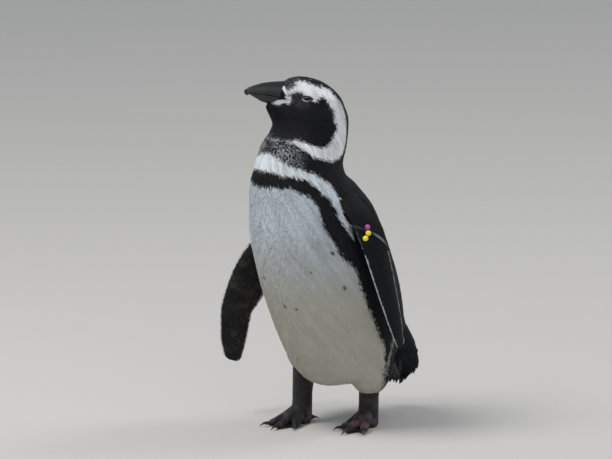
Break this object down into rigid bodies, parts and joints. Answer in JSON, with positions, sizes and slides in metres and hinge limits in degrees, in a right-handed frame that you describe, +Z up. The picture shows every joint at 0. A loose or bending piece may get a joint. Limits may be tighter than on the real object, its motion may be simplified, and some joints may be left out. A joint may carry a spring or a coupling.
{
  "type": "penguin figure",
  "caption": "Life-size still figure of an adult Magellanic-type penguin standing on both feet, one foot ahead, head raised in profile, with a banded left flipper.",
  "frame": {"origin": "middle of the bounding box on the floor under the feet", "axes": "+Z up, the bird faces -Y and its left side is towards +X"},
  "size_m": [0.2511, 0.2632, 0.5019],
  "materials": {
    "feather_light": "short dense white and dark feathers",
    "feather_dark": "short dense black feathers with white bands",
    "bill_horn": "dark satin horn",
    "eye_gloss": "wet gloss",
    "foot_skin": "dark scaled skin",
    "claw_horn": "dark horn",
    "band_strap": "pale grey strap",
    "bead_pink": "glossy bead",
    "bead_yellow": "glossy bead"
  },
  "bodies": {
    "root": {"torso": "feather_light", "neck": "feather_light", "head": "feather_dark", "bill_upper": "bill_horn", "bill_lower": "bill_horn", "eye_left": "eye_gloss", "eye_right": "eye_gloss", "flipper_left": "feather_dark", "flipper_right": "feather_dark", "tail": "feather_dark", "leg_left": "foot_skin", "leg_right": "foot_skin", "foot_left": "foot_skin", "foot_right": "foot_skin", "claw_left_inner": "claw_horn", "claw_left_middle": "claw_horn", "claw_left_outer": "claw_horn", "claw_left_hind": "claw_horn", "claw_right_inner": "claw_horn", "claw_right_middle": "claw_horn", "claw_right_outer": "claw_horn", "claw_right_hind": "claw_horn", "band_strap": "band_strap", "bead_pink": "bead_pink", "bead_yellow_1": "bead_yellow", "bead_yellow_2": "bead_yellow"}
  },
  "joints": []
}
